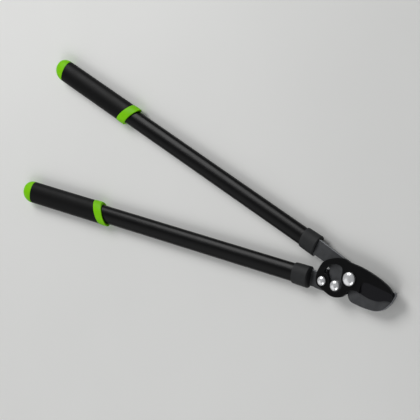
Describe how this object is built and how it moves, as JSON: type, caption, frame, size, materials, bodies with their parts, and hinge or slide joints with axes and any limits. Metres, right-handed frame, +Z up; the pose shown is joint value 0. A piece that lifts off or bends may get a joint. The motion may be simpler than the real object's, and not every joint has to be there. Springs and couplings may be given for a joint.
{
  "type": "bypass loppers",
  "caption": "Long-handled bypass loppers with a curved cutting blade, a hook, slim oval handles, padded grips and a compound lever head.",
  "frame": {"origin": "centre of the flat lower end of the pivot bolt, on the surface the tool lies on", "axes": "+X along the middle of the tool to the blade's tip, +Y to the upper handle, +Z up the pivot axis to the blade's face"},
  "size_m": [0.6823, 0.2272, 0.0257],
  "materials": {
    "satin_steel": "satin",
    "black_coating": "satin",
    "polished_steel": "polished",
    "zinc_plate": "satin",
    "bronze": "satin",
    "black_nylon": "matte",
    "grey_nylon": "satin",
    "natural_nylon": "matte",
    "black_enamel": "gloss",
    "lime_rubber": "satin",
    "charcoal_rubber": "matte"
  },
  "bodies": {
    "upper_handle": {"hook_plate": "satin_steel", "pivot_bolt": "polished_steel", "pivot_washer": "zinc_plate", "pivot_nut": "zinc_plate", "fulcrum_bolt": "polished_steel", "fulcrum_spacer": "black_nylon", "fulcrum_washer": "zinc_plate", "fulcrum_nut": "zinc_plate", "upper_tube": "black_enamel", "upper_collar": "grey_nylon", "upper_tang_plug": "natural_nylon", "upper_grip": "charcoal_rubber", "upper_grip_ring": "lime_rubber", "upper_end_cap": "lime_rubber"},
    "blade": {"cutting_blade": "black_coating", "pivot_bush": "bronze", "drive_bolt": "polished_steel", "drive_sleeve": "bronze", "drive_washer": "zinc_plate", "drive_nut": "zinc_plate"},
    "lower_handle": {"lower_lever": "satin_steel", "fulcrum_bush": "bronze", "lower_tube": "black_enamel", "lower_collar": "grey_nylon", "lower_tang_plug": "natural_nylon", "lower_grip": "charcoal_rubber", "lower_grip_ring": "lime_rubber", "lower_end_cap": "lime_rubber"}
  },
  "joints": [
    {"name": "lower_handle_pivot", "type": "hinge", "parent": "upper_handle", "child": "lower_handle", "pos_m": [-0.0185, -0.0172, 0], "axis": [0, 0, 1], "range_deg": [0, 80]},
    {"name": "blade_pivot", "type": "hinge", "parent": "upper_handle", "child": "blade", "pos_m": [0, 0, 0], "axis": [0, 0, 1], "range_deg": [0, 36.4]}
  ],
  "couplings": [
    {"joint": "blade_pivot", "follows": "lower_handle_pivot", "ratio": 0.4545}
  ]
}
